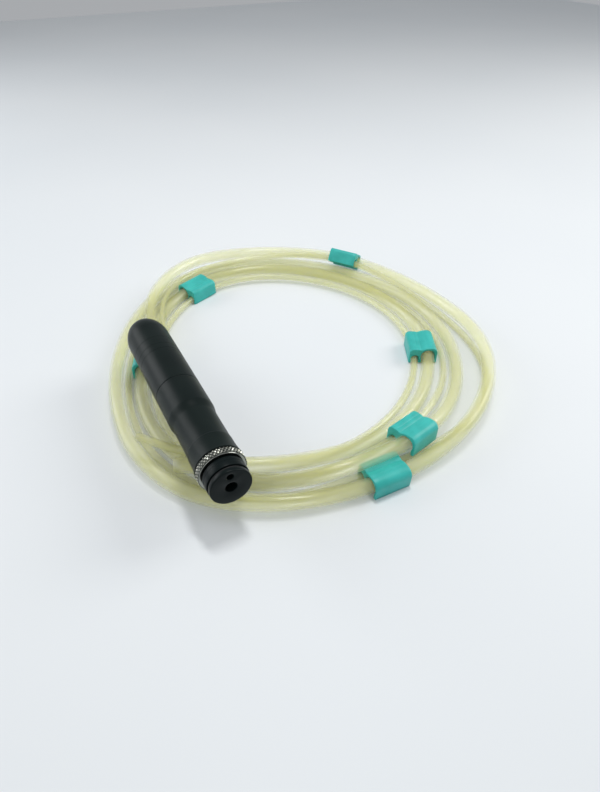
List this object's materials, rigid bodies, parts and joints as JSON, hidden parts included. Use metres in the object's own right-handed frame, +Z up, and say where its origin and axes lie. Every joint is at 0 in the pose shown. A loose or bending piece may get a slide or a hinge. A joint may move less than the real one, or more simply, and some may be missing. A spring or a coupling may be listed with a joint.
{
  "type": "hand-held suction pump with hose",
  "caption": "Pen-shaped black suction pump with a domed sleeve, knurled ring and two-hole port end, lying on a loose coil of pale twin hose held by teal clips.",
  "frame": {"origin": "middle of the handpiece, on its axis; the hoses rest 30.8 mm below it", "axes": "+X along the handpiece towards the port end, +Z up"},
  "size_m": [0.2734, 0.2531, 0.0434],
  "materials": {
    "body_black": "satin black anodised",
    "plug_black": "satin",
    "ring_steel": "bright knurled",
    "inner_steel": "turned",
    "seal_rubber": "matt",
    "tube_nylon": "satin",
    "nozzle_brass": "turned",
    "ejector_alloy": "machined",
    "silencer_pe": "porous",
    "hose_pvc": "translucent, slightly yellow",
    "clip_teal": "satin"
  },
  "bodies": {
    "hose_set": {"thick_hose": "hose_pvc", "thin_hose": "hose_pvc", "hose_clip_1": "clip_teal", "hose_clip_2": "clip_teal", "hose_clip_3": "clip_teal", "hose_clip_4": "clip_teal", "hose_clip_5": "clip_teal", "hose_clip_6": "clip_teal"},
    "handpiece": {"rear_body": "body_black", "ring_washer": "inner_steel", "port_plug": "plug_black", "plug_o_ring": "seal_rubber", "shank_o_ring": "seal_rubber", "seam_o_ring": "seal_rubber", "lock_pin": "inner_steel", "inlet_screen": "inner_steel", "suction_tube": "tube_nylon", "drive_tube": "inner_steel", "ejector_body": "ejector_alloy", "drive_nozzle": "nozzle_brass", "mixing_tube": "nozzle_brass", "valve_seat": "nozzle_brass", "valve_spring": "inner_steel", "silencer_disc": "ejector_alloy", "silencer_sleeve": "silencer_pe", "silencer_nut": "nozzle_brass"},
    "sleeve": {"front_sleeve": "body_black"},
    "ring": {"knurled_ring": "ring_steel"},
    "ball": {"valve_ball": "inner_steel"}
  },
  "joints": [
    {"name": "handpiece_lift", "type": "slide", "parent": "hose_set", "child": "handpiece", "axis": [0, 0, 1], "range_m": [0, 0.12]},
    {"name": "sleeve_off", "type": "slide", "parent": "handpiece", "child": "sleeve", "axis": [-1, 0, 0], "range_m": [0, 0.08]},
    {"name": "ring_turn", "type": "hinge", "parent": "handpiece", "child": "ring", "pos_m": [0.0624, 0, 0], "axis": [1, 0, 0], "continuous": true},
    {"name": "ball_lift", "type": "slide", "parent": "handpiece", "child": "ball", "axis": [-1, 0, 0], "range_m": [0, 0.0015], "stiffness_N_per_m": 30, "springref_m": -0.002, "deforming": ["valve_spring"]}
  ]
}
